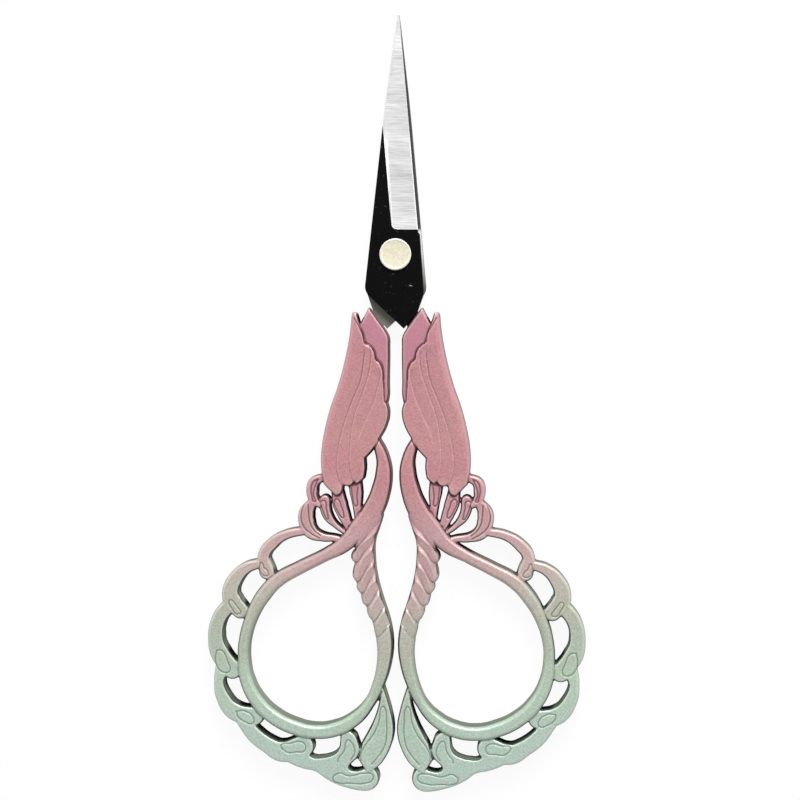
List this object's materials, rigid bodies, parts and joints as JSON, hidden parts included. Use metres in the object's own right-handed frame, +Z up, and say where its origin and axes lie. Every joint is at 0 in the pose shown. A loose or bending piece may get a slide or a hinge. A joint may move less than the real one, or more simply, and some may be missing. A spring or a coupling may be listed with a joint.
{
  "type": "tailor scissors",
  "caption": "Small tailor's scissors: pointed ground blades crossing on a rivet, with openwork cast handles shaped as a flower over a scalloped finger loop.",
  "frame": {"origin": "under the middle of the part's outline, on the surface that it lies on", "axes": "+Y along the blades towards the tips, +Z up through the thickness, +X to the right seen from above"},
  "size_m": [0.062, 0.1272, 0.0046],
  "materials": {
    "coated_steel": "black coated steel with a bright ground facet along the cutting edge",
    "painted_casting": "pearl paint shading from dusty pink at the blades to sage green at the loops, with dark antiqued creases",
    "plated_steel": "satin, warm plated"
  },
  "bodies": {
    "back_half": {"back_blade": "coated_steel", "left_handle": "painted_casting", "pivot_rivet": "plated_steel", "rivet_washer": "plated_steel"},
    "front_half": {"front_blade": "coated_steel", "right_handle": "painted_casting"}
  },
  "joints": [
    {"name": "pivot_hinge", "type": "hinge", "parent": "back_half", "child": "front_half", "pos_m": [0, 0.02445, 0.0023], "axis": [0, 0, 1], "range_deg": [0, 110]}
  ]
}
